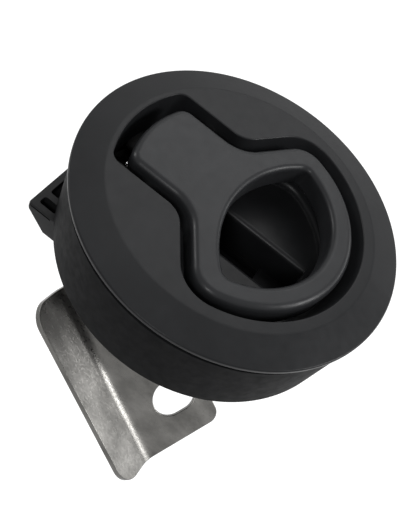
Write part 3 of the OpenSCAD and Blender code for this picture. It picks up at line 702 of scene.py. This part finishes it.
def makeStrike():
    s = strike
    tangent = s["bendR"] * math.tan(math.radians(s["lipAngle"] / 2))
    middleR = s["bendR"] + s["thick"] / 2
    bend = middleR * math.radians(s["lipAngle"])
    far, near = s["width"] - tangent, -bend - (s["lip"] - tangent)
    outline = rounded([(0, near, s["lipCorner"]), (s["length"], near, s["lipCorner"]),
                       (s["length"], far, s["corner"]), (0, far, s["corner"])], steps=10)
    piece = prism("strike_sheet", outline, -s["thick"], 0)
    slots = []
    for x in (s["slotEnd"], s["length"] - s["slotEnd"]):
        y0, r = s["slotNear"] - tangent, s["slotW"] / 2
        oval = arcPoints((x, y0), r, 180, 360, 24) + arcPoints((x, y0 + s["slotL"]), r, 0, 180, 24)
        slots.append(prism("oval", oval, -s["thick"] - 1, 1))
    combine(piece, "DIFFERENCE", slots)
    softEdges(piece, s["edge"], steps=3)
    bm = bmesh.new()
    bm.from_mesh(piece.data)
    for i in range(s["bendSteps"] + 1):
        line = Vector((0, -bend * i / s["bendSteps"] * mm, 0))
        bmesh.ops.bisect_plane(bm, geom=bm.verts[:] + bm.edges[:] + bm.faces[:],
                               plane_co=line, plane_no=(0, 1, 0), dist=1e-7)
    for v in bm.verts:
        y, depth = v.co.y / mm, -v.co.z / mm
        angle = math.radians(s["lipAngle"]) * min(max(-y / bend, 0), 1)
        out = max(-y - bend, 0)
        reach = s["bendR"] + depth
        v.co.y = (tangent + max(y, 0) - reach * math.sin(angle) - out * math.cos(angle)) * mm
        v.co.z = (s["bendR"] - reach * math.cos(angle) + out * math.sin(angle)) * mm
    bm.to_mesh(piece.data)
    bm.free()
    turn = Matrix.Identity(4)
    for axis, angle in zip("XYZ", s["turn"]):
        turn = Matrix.Rotation(math.radians(angle), 4, axis) @ turn
    standUp(piece, turn, s["place"])
    fit(piece, "case", "strike_steel", steel["strike"], "strike_plate")


makeStrike()
print("strike plate made")


# back cover with the bolt's slide, and its four countersunk screws
cover = dict(
    top=-16.8, low=-25.1, topR=27, lowR=25.5, edge=0.5, innerR=23.5, floorZ=-23.1,
    guide=17.05, seatX=-20.205, tongueHalf=6.1,
)
screw = dict(x=11.758, y=19.65, r=1.2, headR=2.2, topZ=-11.1, headSlope=1.0, crossW=0.6, crossL=2.4)


def atScrews():
    return [(sx * screw["x"], sy * screw["y"]) for sx in (-1, 1) for sy in (-1, 1)]


def makeCover():
    c, s = cover, screw
    piece = lathe("rear_cover", rounded([
        (0, c["low"], 0), (c["lowR"], c["low"], c["edge"]), (c["topR"], c["top"], 0.2), (0, c["top"], 0)]), turns=180)
    slide = block("slide", (c["seatX"], -c["guide"], c["floorZ"]), (40, c["guide"], c["top"] + 1))
    tongue = block("tongue", (-40, -c["tongueHalf"], c["floorZ"]), (0, c["tongueHalf"], c["top"] + 1))
    rim = lathe("rim", [(c["innerR"], c["floorZ"] - 1), (60, c["floorZ"] - 1),
                        (60, c["top"] + 2), (c["innerR"], c["top"] + 2)], turns=180)
    front = block("front", (0, -70, c["floorZ"] - 2), (70, 70, c["top"] + 3))
    combine(rim, "DIFFERENCE", [front])
    combine(slide, "UNION", [tongue])
    combine(slide, "DIFFERENCE", [rim])
    sinks = []
    for x, y in atScrews():
        sink = lathe("sink", [(0, c["low"] - 0.5), (s["headR"] + 0.1, c["low"] - 0.5), (s["headR"] + 0.1, c["low"]),
                              (s["r"] + 0.1, c["low"] + s["headSlope"]), (s["r"] + 0.1, c["top"] + 1),
                              (0, c["top"] + 1)], turns=48)
        sinks.append(standUp(sink, Matrix.Identity(4), (x, y, 0)))
    combine(piece, "DIFFERENCE", [slide] + sinks)
    fit(piece, "case", "cover_nylon", nylon["cover"], "back_cover")


def makeScrews():
    s, low = screw, cover["low"]
    parts = []
    for x, y in atScrews():
        one = lathe("screw", rounded([(0, low, 0), (s["headR"], low, 0.12), (s["r"], low + s["headSlope"], 0.2),
                                      (s["r"], s["topZ"], 0.3), (0, s["topZ"], 0)], steps=3), turns=48)
        cross = block("cross", (-s["crossL"] / 2, -s["crossW"] / 2, low - 1), (s["crossL"] / 2, s["crossW"] / 2, low + 0.6))
        other = block("other", (-s["crossW"] / 2, -s["crossL"] / 2, low - 1), (s["crossW"] / 2, s["crossL"] / 2, low + 0.6))
        combine(one, "DIFFERENCE", [combine(cross, "UNION", [other])])
        parts.append(standUp(one, Matrix.Identity(4), (x, y, 0)))
    bm = bmesh.new()
    for part in parts:
        bm.from_mesh(part.data)
    bm.to_mesh(parts[0].data)
    bm.free()
    for part in parts[1:]:
        bpy.data.objects.remove(part)
    parts[0].name = "countersunk_screws"
    fit(parts[0], "case", "screw_steel", steel["screw"], "cover_screws")


makeCover()
makeScrews()
print("cover and screws made")


# hinge pin and springs
pin = dict(r=1.5, half=19.449, chamfer=0.3)
coil = dict(wire=0.35, r=2.2, pitch=0.77, turns=4, extra=45, startY=7.45, legX=21.0)
thrust = dict(wire=0.3, r=1.7, turns=7, x0=-19.805, length=14.4, anchorX=-20.2, keep=0.27)


def tube(name, path, radius, sides=12):
    # round wire along a path, its frame carried on from point to point
    points = [Vector(p) for p in path]
    ahead = [(points[min(i + 1, len(points) - 1)] - points[max(i - 1, 0)]).normalized() for i in range(len(points))]
    side = ahead[0].orthogonal().normalized()
    verts, faces = [], []
    for point, direction in zip(points, ahead):
        side = (side - direction * side.dot(direction)).normalized()
        third = direction.cross(side)
        for u, v in arcPoints((0, 0), radius, 0, 360, sides, skip=1):
            verts.append(point + side * u + third * v)
    count = len(points)
    for i in range(count - 1):
        for j in range(sides):
            k = (j + 1) % sides
            faces.append((i * sides + j, i * sides + k, (i + 1) * sides + k, (i + 1) * sides + j))
    faces += [tuple(range(sides - 1, -1, -1)), tuple(range((count - 1) * sides, count * sides))]
    return newPiece(name, verts, faces)


def softPath(points, radius, steps=5):
    # a path of straight runs, its corners turned round
    path = [Vector(points[0])]
    for before, here, after in zip(points, points[1:], points[2:]):
        here = Vector(here)
        start, end = (Vector(before) - here), (Vector(after) - here)
        near = min(radius, start.length / 2, end.length / 2)
        a, b = here + start.normalized() * near, here + end.normalized() * near
        for i in range(steps + 1):
            t = i / steps
            path.append(a * (1 - t) ** 2 + here * 2 * t * (1 - t) + b * t ** 2)
    return path + [Vector(points[-1])]


def makePin():
    h = housing
    rod = lathe("hinge_pin", rounded([(0, -pin["half"], 0), (pin["r"], -pin["half"], pin["chamfer"]),
                                      (pin["r"], pin["half"], pin["chamfer"]), (0, pin["half"], 0)]), turns=48)
    standUp(rod, alongY, (h["pinX"], 0, h["pinZ"]))
    fit(rod, "case", "pin_steel", steel["pin"], "handle_pin")


def makeHandleSpring(name, node, side):
    c, h, p = coil, housing, pull
    total = c["turns"] * 360 + c["extra"]
    steps = c["turns"] * 24
    turn = []
    for i in range(steps + 1):
        a = total * i / steps
        turn.append((h["pinX"] + c["r"] * math.cos(math.radians(90 + a)), c["startY"] + c["pitch"] * a / 360,
                     h["pinZ"] + c["r"] * math.sin(math.radians(90 + a))))
    last = turn[-1]
    restZ = h["floorZ"] + c["wire"] + 0.1
    drop = last[2] - restZ
    under = (c["legX"], c["startY"], p["stemLow"] - c["wire"] - 0.1)
    foot = [(last[0] - drop, last[1], restZ), (last[0] - drop - 4 * c["wire"], last[1], restZ)]
    path = [under] + turn + softPath([last] + foot, 0.5)[1:]
    wire = tube(name, [(x, side * y, z) for x, y, z in path], c["wire"])
    fit(wire, "handle", "spring_steel", steel["wire"], node)


def makeBoltSpring(name, node, side):
    t, b = thrust, bolt
    steps = t["turns"] * 24
    pitch = (t["length"] - 4 * t["wire"]) / (t["turns"] - 2)
    path = []
    for i in range(steps + 1):
        u = i / 24
        x = 2 * t["wire"] * u
        if u > t["turns"] - 1:
            x = t["length"] - 2 * t["wire"] * (t["turns"] - u)
        elif u > 1:
            x = 2 * t["wire"] + (u - 1) * pitch
        a = math.radians(360 * u)
        path.append((t["x0"] + x, side * b["springY"] + t["r"] * math.cos(a), b["springZ"] + t["r"] * math.sin(a)))
    wire = tube(name, path, t["wire"])
    fit(wire, "case", "spring_steel", steel["wire"], node)
    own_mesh(wire)


makePin()
makeHandleSpring("closing_spring_left", "handle_spring_left", 1)
makeHandleSpring("closing_spring_right", "handle_spring_right", -1)
makeBoltSpring("thrust_spring_left", "bolt_spring_left", 1)
makeBoltSpring("thrust_spring_right", "bolt_spring_right", -1)
print("pin and springs made")
